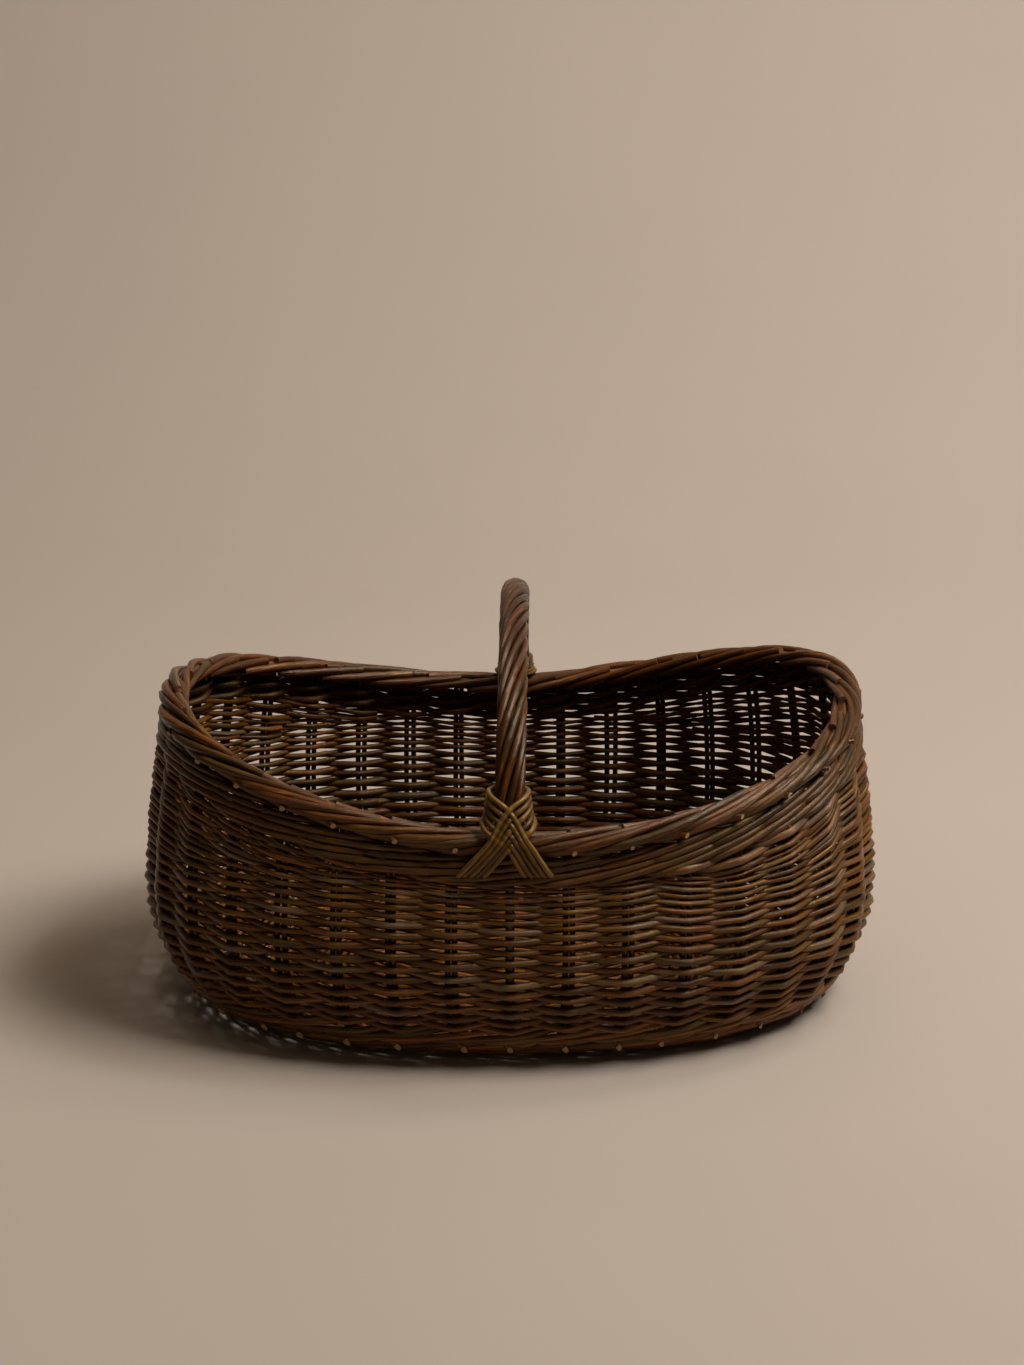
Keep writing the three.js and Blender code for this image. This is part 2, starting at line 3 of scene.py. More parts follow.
import bpy
import numpy as np
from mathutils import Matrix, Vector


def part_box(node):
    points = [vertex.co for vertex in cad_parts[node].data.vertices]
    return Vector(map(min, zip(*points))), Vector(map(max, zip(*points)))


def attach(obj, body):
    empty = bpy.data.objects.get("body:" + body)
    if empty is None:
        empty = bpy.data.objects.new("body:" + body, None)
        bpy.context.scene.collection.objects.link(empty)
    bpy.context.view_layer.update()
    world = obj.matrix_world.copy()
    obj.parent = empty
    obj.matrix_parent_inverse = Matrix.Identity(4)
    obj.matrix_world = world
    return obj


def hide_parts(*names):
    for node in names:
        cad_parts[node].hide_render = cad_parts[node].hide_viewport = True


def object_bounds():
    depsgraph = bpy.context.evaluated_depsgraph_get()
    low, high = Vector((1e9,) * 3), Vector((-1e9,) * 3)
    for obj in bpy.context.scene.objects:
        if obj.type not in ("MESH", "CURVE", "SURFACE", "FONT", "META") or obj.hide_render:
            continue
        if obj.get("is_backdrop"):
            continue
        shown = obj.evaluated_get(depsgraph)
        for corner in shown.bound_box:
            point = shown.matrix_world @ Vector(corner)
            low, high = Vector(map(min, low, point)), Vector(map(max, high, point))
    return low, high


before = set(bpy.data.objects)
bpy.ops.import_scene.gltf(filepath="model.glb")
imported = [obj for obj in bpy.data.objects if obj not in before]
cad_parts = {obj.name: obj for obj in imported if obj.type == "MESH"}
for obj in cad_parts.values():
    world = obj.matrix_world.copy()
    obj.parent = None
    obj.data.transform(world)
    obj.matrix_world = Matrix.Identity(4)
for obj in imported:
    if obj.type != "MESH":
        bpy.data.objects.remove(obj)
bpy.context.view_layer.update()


# Base sticks: two long willow sticks threaded through five short ones that are split for them.
# They are bark-on sticks 8 to 9 mm wide, and the short ones are trimmed at the edge of the base.
# Sizes here and below are in metres.

LONG_STICKS = ["base_long_stick_%d" % (i + 1) for i in range(2)]
SHORT_STICKS = ["base_short_stick_%d" % (i + 1) for i in range(5)]
STICK_SEED = 11
STICK_STEPS = 60
STICK_WAVER = 0.0006
STICK_BENDS = 5
STICK_BEND_SHIFT = 90

ROD_SWELLS = [0.025, 0.02]
ROD_SWELL_RUNS = [0.0062, 0.0021]
ROD_UNEVEN = [0.03, 0.02]
KNOT_FIRST = 0.09
KNOT_SPACING = [0.045, 0.11]
KNOT_LENGTH = 0.0032
KNOT_SHARES = [0.4, 1.0]
BARK_SHIFT = 4

UP = np.array([0.0, 0.0, 1.0])


def unit(vectors):
    """The same directions with a length of one."""
    return vectors / np.linalg.norm(vectors, axis=-1, keepdims=True)


class Bundle:
    """Willow rods that make up one piece, each a closed round skin with flat cut ends."""

    def __init__(self, seed):
        self.chance = np.random.default_rng(seed)
        self.points = []
        self.faces = []
        self.bark = []
        self.rod = []
        self.count = 0

    def skin(self, rings, bark, rod):
        """Adds rings of points with their bark, and gives the number of the first point."""
        self.points.append(rings.reshape(-1, 3))
        self.bark.append(bark.reshape(-1, 3))
        self.rod.append(np.tile(rod, (rings.shape[0] * rings.shape[1], 1)))
        first = self.count
        self.count += rings.shape[0] * rings.shape[1]
        return first

    def add(self, path, radius, facing, sides=8, flat=1.0, tint=None, shade=None, knots=0.09, cut=1.0,
            slant=0.0):
        """Lays a rod along a path. Facing points out of the work, and flat squeezes the rod that way.

        Tint and shade choose the bark, knots is how far a knot swells, cut is how bare the wood of the ends
        is, and slant tilts the last cut.
        """
        path = np.asarray(path, float)
        count = len(path)
        along = unit(np.gradient(path, axis=0))
        side = unit(np.cross(along, np.broadcast_to(facing, path.shape)))
        lift = np.cross(side, along)
        steps = np.linalg.norm(np.diff(path, axis=0), axis=1)
        run = np.concatenate([[0.0], np.cumsum(steps)])

        thick = np.broadcast_to(np.asarray(radius, float), (count,)).copy()
        phases = self.chance.uniform(0, 2 * math.pi, 4)
        long_swell = ROD_SWELLS[0] * np.sin(run / ROD_SWELL_RUNS[0] + phases[0])
        short_swell = ROD_SWELLS[1] * np.sin(run / ROD_SWELL_RUNS[1] + phases[1])
        thick *= 1 + long_swell + short_swell
        knot = self.chance.uniform(0.0, KNOT_FIRST)
        while knot < run[-1]:
            swell = knots * self.chance.uniform(*KNOT_SHARES)
            thick *= 1 + swell * np.exp(-((run - knot) / KNOT_LENGTH) ** 2)
            knot += self.chance.uniform(*KNOT_SPACING)

        turn = 2 * math.pi * np.arange(sides) / sides
        uneven = 1 + ROD_UNEVEN[0] * np.sin(2 * turn + phases[2])
        uneven = uneven + ROD_UNEVEN[1] * np.sin(3 * turn + phases[3])
        across = (thick[:, None] * uneven * np.cos(turn))[..., None]
        out = (thick[:, None] * uneven * np.sin(turn) * flat)[..., None]
        rings = path[:, None, :] + across * side[:, None, :] + out * lift[:, None, :]
        rings[-1] += slant * across[-1] * along[-1]

        shift = self.chance.uniform(0, BARK_SHIFT, 3)
        bark = np.concatenate([across, out, np.broadcast_to(run[:, None, None], across.shape)], axis=2)
        tint = self.chance.uniform() if tint is None else tint
        shade = self.chance.uniform() if shade is None else shade
        first = self.skin(rings, bark + shift, [tint, shade, 0.0])
        here = first + np.arange(count - 1)[:, None] * sides + np.arange(sides)
        nearby = first + np.arange(count - 1)[:, None] * sides + (np.arange(sides) + 1) % sides
        quads = np.stack([here, here + sides, nearby + sides, nearby], axis=-1)
        self.faces += quads.reshape(-1, 4).tolist()
        for end, order in ((0, 1), (count - 1, -1)):
            cap = self.skin(rings[end:end + 1], bark[end:end + 1] * [1, 1, 0] + shift, [tint, shade, cut])
            self.faces.append(list(range(cap, cap + sides))[::order])

    def piece(self, name, material, slot, *nodes):
        """Makes the rods into one mesh that stands for the given solids."""
        mesh = bpy.data.meshes.new(name)
        mesh.from_pydata(np.concatenate(self.points).tolist(), [], self.faces)
        mesh.polygons.foreach_set("use_smooth", [True] * len(mesh.polygons))
        for key, values in (("bark", self.bark), ("rod", self.rod)):
            attribute = mesh.attributes.new(key, "FLOAT_VECTOR", "POINT")
            attribute.data.foreach_set("vector", np.concatenate(values).astype(np.float32).ravel())
        mesh.materials.append(material)
        mesh.update()
        piece = bpy.data.objects.new(name, mesh)
        bpy.context.scene.collection.objects.link(piece)
        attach(piece, "root")
        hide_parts(*nodes)


STREAKS = (820.0, 40.0)
BLOTCHES = (170.0, 22.0)
GRAIN = (2400.0, 330.0)
NOISE_ROUGHNESS = 0.62
BLOTCH_TO_TINT = ((0.3, 0.7), (-0.22, 0.22))
TINT_TO_OLIVE = ((0.55, 0.95), (0.0, 1.0))
SHADE_TO_GREY = ((0.76, 0.98), (0.0, 0.8))
BLOTCH_TO_GREY = ((0.38, 0.6), (0.25, 1.0))
STREAK_TO_WORN = ((0.53, 0.70), (0.0, 1.0))
BLOTCH_TO_WORN = ((0.48, 0.66), (0.0, 0.6))
STREAK_TO_VALUE = ((0.32, 0.68), (0.36, 1.75))
SHADE_TO_VALUE = ((0.0, 1.0), (0.55, 1.5))
GRAIN_TO_PALE = ((0.35, 0.65), (0.0, 1.0))
STREAK_TO_ROUGHNESS = ((0.3, 0.7), (0.44, 0.20))
WORN_BARK = (0.25, 0.085, 0.013, 1.0)
CUT_WOOD = [(0.27, 0.165, 0.085, 1.0), (0.48, 0.33, 0.19, 1.0)]
CUT_ROUGHNESS = 0.8
GRAIN_HEIGHT = 0.35
RELIEF_STRENGTH = 0.9
RELIEF_DEPTH = 0.0006
SHEEN_TINT = (1.0, 0.84, 0.66, 1.0)
MIX_FIRST = 6
MIX_SECOND = 7
MIX_RESULT = 2


def add_node(tree, kind, inputs=None, **settings):
    """A node with its settings and its inputs, each a value or another node's socket."""
    node = tree.nodes.new(kind)
    for key, value in settings.items():
        setattr(node, key, value)
    for key, value in (inputs or {}).items():
        if isinstance(value, bpy.types.NodeSocket):
            tree.links.new(value, node.inputs[key])
        else:
            node.inputs[key].default_value = value
    return node


def mix_colors(tree, share, first, second, blend="MIX"):
    """A share of the second color over the first, each a value or another node's socket."""
    node = add_node(tree, "ShaderNodeMix", {"Factor": share, MIX_FIRST: first, MIX_SECOND: second},
                    data_type="RGBA", blend_type=blend)
    return node.outputs[MIX_RESULT]


def bark_group():
    """Willow bark: streaks along the rod, blotches, grey bloom and pale wood where a rod is cut."""
    tree = bpy.data.node_groups.new("willow bark", "ShaderNodeTree")
    for name, kind in (("Bark", "NodeSocketVector"), ("Rod", "NodeSocketVector"),
                       ("Brown", "NodeSocketColor"), ("Olive", "NodeSocketColor"),
                       ("Grey", "NodeSocketColor")):
        tree.interface.new_socket(name, in_out="INPUT", socket_type=kind)
    for name, kind in (("Color", "NodeSocketColor"), ("Roughness", "NodeSocketFloat"),
                       ("Height", "NodeSocketFloat")):
        tree.interface.new_socket(name, in_out="OUTPUT", socket_type=kind)
    given = tree.nodes.new("NodeGroupInput")
    rod = add_node(tree, "ShaderNodeSeparateXYZ", {"Vector": given.outputs["Rod"]})
    rod_tint, rod_shade, rod_cut = (rod.outputs[axis] for axis in "XYZ")

    def noise(scales, detail):
        around, along = scales
        scaled = add_node(tree, "ShaderNodeVectorMath",
                          {0: given.outputs["Bark"], 1: (around, around, along)}, operation="MULTIPLY")
        texture = add_node(tree, "ShaderNodeTexNoise", {"Vector": scaled.outputs[0], "Scale": 1.0,
                                                        "Detail": detail, "Roughness": NOISE_ROUGHNESS})
        return texture.outputs["Fac"]

    def spread(value, given_range, wanted_range):
        node = add_node(tree, "ShaderNodeMapRange", {"Value": value,
                                                     "From Min": given_range[0], "From Max": given_range[1],
                                                     "To Min": wanted_range[0], "To Max": wanted_range[1]})
        return node.outputs["Result"]

    def calculate(operation, first, second):
        return add_node(tree, "ShaderNodeMath", {0: first, 1: second}, operation=operation).outputs[0]

    streak = noise(STREAKS, detail=4.0)
    blotch = noise(BLOTCHES, detail=2.0)
    grain = noise(GRAIN, detail=2.0)

    olive = spread(calculate("ADD", rod_tint, spread(blotch, *BLOTCH_TO_TINT)), *TINT_TO_OLIVE)
    grey = calculate("MULTIPLY", spread(rod_shade, *SHADE_TO_GREY), spread(blotch, *BLOTCH_TO_GREY))
    worn = calculate("MULTIPLY", spread(streak, *STREAK_TO_WORN), spread(blotch, *BLOTCH_TO_WORN))
    color = mix_colors(tree, olive, given.outputs["Brown"], given.outputs["Olive"])
    color = mix_colors(tree, grey, color, given.outputs["Grey"])
    color = mix_colors(tree, worn, color, WORN_BARK)

    value = calculate("MULTIPLY", spread(streak, *STREAK_TO_VALUE), spread(rod_shade, *SHADE_TO_VALUE))
    shade = add_node(tree, "ShaderNodeCombineColor", {"Red": value, "Green": value, "Blue": value})
    color = mix_colors(tree, 1.0, color, shade.outputs[0], "MULTIPLY")
    pale = mix_colors(tree, spread(grain, *GRAIN_TO_PALE), *CUT_WOOD)
    color = mix_colors(tree, rod_cut, color, pale)

    rough = calculate("MAXIMUM", spread(streak, *STREAK_TO_ROUGHNESS),
                      calculate("MULTIPLY", rod_cut, CUT_ROUGHNESS))
    height = calculate("ADD", streak, calculate("MULTIPLY", grain, GRAIN_HEIGHT))
    put = tree.nodes.new("NodeGroupOutput")
    for name, value in (("Color", color), ("Roughness", rough), ("Height", height)):
        tree.links.new(value, put.inputs[name])
    return tree


BARK = bark_group()


def willow(name, brown, olive, grey, sheen=0.36):
    """A willow material with its own three bark colours and sheen."""
    material = bpy.data.materials.new(name)
    material.use_nodes = True
    tree = material.node_tree
    shader = tree.nodes["Principled BSDF"]
    bark = add_node(tree, "ShaderNodeAttribute", attribute_name="bark", attribute_type="GEOMETRY")
    rod = add_node(tree, "ShaderNodeAttribute", attribute_name="rod", attribute_type="GEOMETRY")
    group = add_node(tree, "ShaderNodeGroup", node_tree=BARK)
    tree.links.new(bark.outputs["Vector"], group.inputs["Bark"])
    tree.links.new(rod.outputs["Vector"], group.inputs["Rod"])
    for key, value in (("Brown", brown), ("Olive", olive), ("Grey", grey)):
        group.inputs[key].default_value = (*value, 1.0)
    bump = add_node(tree, "ShaderNodeBump", {"Strength": RELIEF_STRENGTH, "Distance": RELIEF_DEPTH,
                                             "Height": group.outputs["Height"]})
    tree.links.new(group.outputs["Color"], shader.inputs["Base Color"])
    tree.links.new(group.outputs["Roughness"], shader.inputs["Roughness"])
    tree.links.new(bump.outputs["Normal"], shader.inputs["Normal"])
    shader.inputs["Specular IOR Level"].default_value = sheen
    shader.inputs["Specular Tint"].default_value = SHEEN_TINT
    return material


stick_willow = willow("base stick willow", brown=(0.080, 0.027, 0.0045), olive=(0.066, 0.030, 0.006),
                      grey=(0.066, 0.042, 0.022))
for name, nodes, axis in (("long_base_sticks", LONG_STICKS, 0), ("short_base_sticks", SHORT_STICKS, 1)):
    sticks = Bundle(STICK_SEED + axis)
    for node in nodes:
        low, high = (np.array(corner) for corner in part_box(node))
        middle = (low + high) / 2
        half = (high - low) / 2
        share = np.linspace(-1, 1, STICK_STEPS)
        path = np.repeat(middle[None, :], STICK_STEPS, axis=0)
        path[:, axis] += share * half[axis]
        path[:, 1 - axis] += STICK_WAVER * np.sin(share * STICK_BENDS + middle[axis] * STICK_BEND_SHIFT)
        sticks.add(path, half[1 - axis], UP, sides=12, flat=half[2] / half[1 - axis], knots=0.05)
    sticks.piece(name, stick_willow, "base_stick_willow", *nodes)


# Base weave: thin rods worked round and round over and under the sticks and the feet of the stakes.
# The rounds lie close, from the long sticks in the middle out to the bend of the stakes.

PLAN_POWER = 2.35
FOOT = np.array([0.226, 0.146])
BELLY = np.array([0.294, 0.209])
RIM = np.array([0.274, 0.200])
BELLY_HEIGHT = 0.100
RIM_HEIGHTS = np.array([0.249, 0.190])
UPRIGHTS = 36
FRONT = -math.pi / 2
RING_STEPS = 2880
ANGLE_STEP = 1e-3
HEIGHT_STEP = 1e-4
MAT_HEIGHT = 0.012
MAT_INSET = 0.0005
MAT_ROD = 0.0018
MAT_ROUNDS = 51
MAT_SWING = 0.0041
MAT_STEPS = 8
FEET_DEPTH = 0.036
TURN_ROOM = 0.012


def oval(angle):
    """A point of the basket's plan, with half its length and half its width as one, at an angle."""
    x = np.cos(angle)
    y = np.sin(angle)
    reach = (np.abs(x) ** PLAN_POWER + np.abs(y) ** PLAN_POWER) ** (1 / PLAN_POWER)
    return np.stack([x / reach, y / reach], axis=-1)


def wall(angle, height):
    """The middle line of the wall, which the stakes follow: round at the foot and drawn in to the rim."""
    angle, height = np.broadcast_arrays(np.asarray(angle, float), np.asarray(height, float))
    below = np.clip(1 - height / BELLY_HEIGHT, 0, 1)[..., None]
    above = np.clip((height[..., None] - BELLY_HEIGHT) / (RIM_HEIGHTS - BELLY_HEIGHT), 0, None)
    size = FOOT + (BELLY - FOOT) * np.sqrt(1 - below ** 2) + (RIM - BELLY) * above ** 2
    return np.concatenate([oval(angle) * size, height[..., None]], axis=-1)


def wall_directions(angle, height):
    """Along the ring and out of the wall."""
    along = unit(wall(angle + ANGLE_STEP, height) - wall(angle - ANGLE_STEP, height))
    up = unit(wall(angle, height + HEIGHT_STEP) - wall(angle, height - HEIGHT_STEP))
    return along, unit(np.cross(along, up))


ring_angles = FRONT + np.linspace(0, 2 * math.pi, RING_STEPS + 1)
ring_steps = np.linalg.norm(np.diff(wall(ring_angles, BELLY_HEIGHT), axis=0), axis=1)
ring_places = np.concatenate([[0.0], np.cumsum(ring_steps)]) / ring_steps.sum() * UPRIGHTS


def angle_at(place):
    """Angle of an upright, counted from the middle of the front towards the right end."""
    return np.interp(np.mod(place, UPRIGHTS), ring_places, ring_angles)


mat_willow = willow("base willow", brown=(0.125, 0.038, 0.0045), olive=(0.088, 0.036, 0.006),
                    grey=(0.075, 0.046, 0.022), sheen=0.2)
mat = Bundle(seed=21)
edge = np.array([wall(0.0, MAT_HEIGHT / 2)[0], wall(math.pi / 2, MAT_HEIGHT / 2)[1]]) - MAT_INSET - MAT_ROD
stick_lines = [(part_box(node)[0][0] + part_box(node)[1][0]) / 2 for node in SHORT_STICKS]
mat_pitch = (edge[1] - MAT_ROD / 2) / (MAT_ROUNDS - 1)
for k in range(MAT_ROUNDS):
    depth = k * mat_pitch
    size = edge - depth
    place = np.linspace(0, UPRIGHTS, UPRIGHTS * MAT_STEPS + 1)
    plan = oval(angle_at(place)) * size
    crossed = [x for x in stick_lines if abs(x) < size[0] - TURN_ROOM]
    swing = np.interp(plan[:, 0], [-size[0], *crossed, size[0]], np.arange(len(crossed) + 2))
    beat = place if depth < FEET_DEPTH else np.where(plan[:, 1] < 0, swing, 2 * len(crossed) + 2 - swing)
    rise = MAT_HEIGHT / 2 + MAT_SWING * np.cos(math.pi * (beat + k))
    rise = np.clip(rise, MAT_ROD, MAT_HEIGHT - MAT_ROD)
    mat.add(np.concatenate([plan, rise[:, None]], axis=1), MAT_ROD, UP, sides=6, knots=0.03)
mat.piece("base_weave", mat_willow, "base_willow", "base_mat")


# Stakes: two willow rods side by side at each upright, pushed into the base and bent up.
# They stand about 45 mm apart, and the bow's two ends take the middle of the front and the back.

STAKE_PLACES = [place for place in range(UPRIGHTS) if place % (UPRIGHTS // 2)]
STAKE_NODES = ["stake_%02d" % (i + 1) for i in range(len(STAKE_PLACES))]
STAKE_ROD = 0.0024
STAKE_GAP = 0.0008
STAKE_LEAN = 0.02
STAKE_TAPER = [1.08, 0.92]
STAKE_START = 0.006
STAKE_BELOW_RIM = 0.004
STAKE_STEPS = 40
STAKE_STEP_POWER = 1.35
STAKE_FOOT = [0.030, 0.004]
STAKE_FOOT_STEPS = 6
RIM_RISE_POWER = 1.75
RIM_TWIST = 0.004
RIM_BACK_LIFT = 0.0036
DOWN = np.array([0.0, 0.0, -1.0])
LEVEL = np.array([1, 1, 0])


def rim_height(angle):
    """Height of the middle of the border, which dips at the handle."""
    x, y = np.moveaxis(oval(angle), -1, 0)
    rise = (RIM_HEIGHTS[0] - RIM_HEIGHTS[1]) * np.abs(x) ** RIM_RISE_POWER
    corner = (RIM_TWIST * x + RIM_BACK_LIFT * np.abs(x)) * 2 * y
    return RIM_HEIGHTS[1] + rise + corner


stake_willow = willow("stake willow", brown=(0.060, 0.020, 0.0032), olive=(0.052, 0.024, 0.0040),
                      grey=(0.058, 0.036, 0.017))
stakes = Bundle(seed=31)
for place in STAKE_PLACES:
    for side in (-1, 1):
        lean = stakes.chance.normal(0, STAKE_LEAN, 2)
        share = np.linspace(0, 1, STAKE_STEPS)
        angle = angle_at(place + lean[0] + (lean[1] - lean[0]) * share)
        top = rim_height(angle) - STAKE_BELOW_RIM
        heights = STAKE_START + (top - STAKE_START) * share ** STAKE_STEP_POWER
        along, out = wall_directions(angle, heights)
        path = wall(angle, heights) + along * side * (STAKE_ROD + STAKE_GAP * stakes.chance.uniform())
        inward = -unit(out[0] * LEVEL)
        foot = path[0] + inward * np.linspace(*STAKE_FOOT, STAKE_FOOT_STEPS)[:, None]
        thick = STAKE_ROD * np.linspace(*STAKE_TAPER, STAKE_FOOT_STEPS + STAKE_STEPS)
        facing = np.concatenate([np.tile(DOWN, (STAKE_FOOT_STEPS, 1)), out])
        stakes.add(np.concatenate([foot, path]), thick, facing)
stakes.piece("stake_rods", stake_willow, "stake_willow", *STAKE_NODES)


# Upsett: a pair of rods at the bend of the stakes, then three rounds of heavy three-rod wale.
# Each wale rod passes outside two uprights, climbing over its fellows, and inside the third.
# The pale butts of the rods are cut off on a slant and left outside.

PER_PLACE = 12
CLIMB_TOP = 0.262
CLIMB_STEPS = 2000
WEAVE_ROUNDING = 0.1
BEND_RUN = 0.0008
BEND_REACH = 0.0028
BEND_ROD = 0.0021
WALE_SET = 3
WALE_LENGTHS = 3
WALE_JOIN_SHIFT = 2
WALE_OVERLAP = 0.35
WALE_TUCK = 0.42
WALE_WANDER = 0.0006
WALE_WANDER_TURN = 2.1
WALE_SPREAD = [0.9, 1.08]
WALE_BEATS = [0, 0.5, 2.5, 3]
WALE_CLIMB = [0, -0.5, 0.5, 0]
UPSETT_ROD = 0.0028
UPSETT_ROUNDS = 3
UPSETT_START = 0.0030
UPSETT_TOP = 0.0366
UPSETT_REACHES = [0.0036, 0.0048, 0.0050]
BUTT_ROD = 0.0022
BUTT_RUN = 0.022
BUTT_DROP = 0.006
BUTT_LAY = 0.17
BUTT_SPREAD = 0.15
BUTT_REACHES = [0.002, 0.0088]
BUTT_STEPS = 8
BUTT_TILT = 0.3
BUTT_SLANT = -2.0

places = np.linspace(0, UPRIGHTS, UPRIGHTS * PER_PLACE + 1)
climb_heights = np.linspace(STAKE_START, CLIMB_TOP, CLIMB_STEPS)
climb_steps = np.linalg.norm(np.diff(wall(FRONT, climb_heights), axis=0), axis=1)
climb_runs = np.concatenate([[0.0], np.cumsum(climb_steps)])


def height_up(run):
    """Height of a point so far up the wall from the bend of the stakes."""
    return np.interp(run, climb_runs, climb_heights)


def run_up(height):
    """How far up the wall from the bend of the stakes a height is."""
    return np.interp(height, climb_heights, climb_runs)


def weave(place):
    """The swing of a rod out and in, from one upright to the next, nearly a zigzag."""
    wave = np.cos(math.pi * place)
    zigzag = np.arcsin(np.clip(wave, -1, 1))
    return WEAVE_ROUNDING * wave + (1 - WEAVE_ROUNDING) * (2 / math.pi) * zigzag


def add_wale(bundle, rod, run_of, round_height, reach):
    """One round of three-rod wale, whose rods each climb over two uprights and drop behind the third."""
    for k in range(WALE_SET):
        start = k + WALE_SET * bundle.chance.integers(0, UPRIGHTS // WALE_SET)
        joins = np.linspace(0, UPRIGHTS, WALE_LENGTHS + 1)
        joins[1:-1] += bundle.chance.integers(-WALE_JOIN_SHIFT, WALE_JOIN_SHIFT + 1, WALE_LENGTHS - 1)
        joins = start + WALE_SET * np.round(joins / WALE_SET)
        for first, last in zip(joins[:-1], joins[1:]):
            steps = int((last - first + 2 * WALE_OVERLAP) * PER_PLACE)
            place = np.linspace(first - WALE_OVERLAP, last + WALE_OVERLAP, steps)
            beat = np.mod(place - start, WALE_SET)
            inside = np.exp(-(np.minimum(beat, WALE_SET - beat) / WALE_TUCK) ** 2)
            swing = reach * (1 - 2 * inside) + WALE_WANDER * np.sin(place * WALE_WANDER_TURN + k)
            climb = np.interp(beat, WALE_BEATS, WALE_CLIMB) * round_height
            angle = angle_at(place)
            height = height_up(run_of(angle) + climb)
            _, out = wall_directions(angle, height)
            thick = rod * bundle.chance.uniform(*WALE_SPREAD)
            bundle.add(wall(angle, height) + out * swing[:, None], thick, out)


upsett_willow = willow("upsett willow", brown=(0.118, 0.036, 0.0040), olive=(0.080, 0.036, 0.0045),
                       grey=(0.070, 0.042, 0.017))
upsett = Bundle(seed=41)
for side in (-1, 1):
    angle = angle_at(places)
    height = height_up(np.full_like(places, BEND_RUN))
    _, out = wall_directions(angle, height)
    swing = side * BEND_REACH * weave(places)
    upsett.add(wall(angle, height) + out * swing[:, None], BEND_ROD, out)
upsett_pitch = (UPSETT_TOP - UPSETT_START) / UPSETT_ROUNDS
for k in range(UPSETT_ROUNDS):
    middle = UPSETT_START + (k + 0.5) * upsett_pitch
    add_wale(upsett, UPSETT_ROD, lambda angle: np.full_like(angle, middle), upsett_pitch, UPSETT_REACHES[k])
for place in range(UPRIGHTS):
    spots = place + BUTT_SPREAD * upsett.chance.uniform(-1, 1) + np.linspace(-BUTT_LAY, 0.0, BUTT_STEPS)
    angle = angle_at(spots)
    height = height_up(np.linspace(BUTT_RUN + BUTT_DROP, BUTT_RUN, BUTT_STEPS))
    _, out = wall_directions(angle, height)
    path = wall(angle, height) + out * np.linspace(*BUTT_REACHES, BUTT_STEPS)[:, None]
    open_side = unit(out * LEVEL) + BUTT_TILT * UP
    upsett.add(path, BUTT_ROD, np.cross(open_side, unit(np.gradient(path, axis=0))), slant=BUTT_SLANT)
upsett.piece("upsett_rods", upsett_willow, "upsett_willow", "upsett_wale")


# Wall weave: plain randing, each rod outside one upright and inside the next, and the next row the other way.
# Rods are thicker low down, and short rows of packing lift the ends up to the raised rim.
# A pair of thick grey rods lies near the top at the front right.

ROWS = 34
PITCHES = [0.0056, 0.0056, 0.0040, 0.0024]
PITCH_SHARES = [0.0, 0.42, 0.68, 1.0]
ROD_OVER_PITCH = [1.20, 1.34]
WEAVER_RODS = [0.0013, 0.0034]
WEAVER_TAPER = [1.06, 0.92]
WEAVER_SPREAD = [0.86, 1.1]
WEAVER_GAP = 0.0006
WEAVER_OVERLAP = 0.32
WEAVER_JOINS = [7, 12]
WEAVER_WANDER = 0.0004
WANDER_TURNS = [0.9, 2.3]
WANDER_SHIFT = 1.7
WALE_DEPTH = 0.0216
BORDER_HEIGHT = 0.019
BORDER_GAP = 0.0003
RIGHT_END = UPRIGHTS // 4
LEFT_END = 3 * UPRIGHTS // 4
PACK_PITCH = 0.0038
PACK_PAIRS = 7
PACK_ROOM = 1.2
SHORT_ROW_FADE = 0.5
GREY_PITCH = 0.0066
GREY_PLACES = (3, 6)
GREY_THICKEST = 0.0036
GREY_BARK = {"tint": 0.2, "shade": 0.99}


def border_bottom(angle):
    """Height at which the border begins."""
    return rim_height(angle) - BORDER_HEIGHT / 2 - BORDER_GAP


def short_row(first, last):
    """How much of a short row there is at each place. It runs out past its first and last uprights."""
    return np.clip(np.minimum(places - first + SHORT_ROW_FADE, last + SHORT_ROW_FADE - places), 0, 1)


weaver_willow = willow("weaver willow", brown=(0.098, 0.032, 0.0034), olive=(0.085, 0.0415, 0.0047),
                       grey=(0.066, 0.050, 0.036), sheen=0.38)
tops = run_up(border_bottom(angle_at(places)) - WALE_DEPTH)
spare = np.clip(tops - tops[0], 0, None)

rows = []
for i in range(ROWS):
    side = 1 - 2 * (i % 2)
    pitch = np.interp(i / (ROWS - 1), PITCH_SHARES, PITCHES)
    rows.append({"pitch": pitch, "share": np.ones_like(places), "side": side})
    pair = (ROWS - 1 - i) / 2
    if pair == int(pair) and pair < PACK_PAIRS:
        enough = spare > (2 * pair + PACK_ROOM) * PACK_PITCH
        for end in (RIGHT_END, LEFT_END):
            close = places[enough & (np.abs(places - end) < UPRIGHTS / 4)]
            lowest = math.ceil(close.min())
            highest = math.floor(close.max())
            for turned in (-side, side):
                first = lowest + (turned * (1 - 2 * (lowest % 2)) > 0)
                last = highest - (turned * (1 - 2 * (highest % 2)) > 0)
                rows.append({"pitch": PACK_PITCH, "share": short_row(first, last), "side": turned,
                             "span": (first, last), "end": end})
for side in (1, -1):
    rows.append({"pitch": GREY_PITCH, "share": short_row(*GREY_PLACES), "side": side,
                 "span": GREY_PLACES, "end": RIGHT_END, "grey": True})

thickness = np.array([row["pitch"] * row["share"] for row in rows])
squeeze = (tops - UPSETT_TOP) / thickness.sum(axis=0)
centres = UPSETT_TOP + squeeze * (np.cumsum(thickness, axis=0) - thickness / 2)

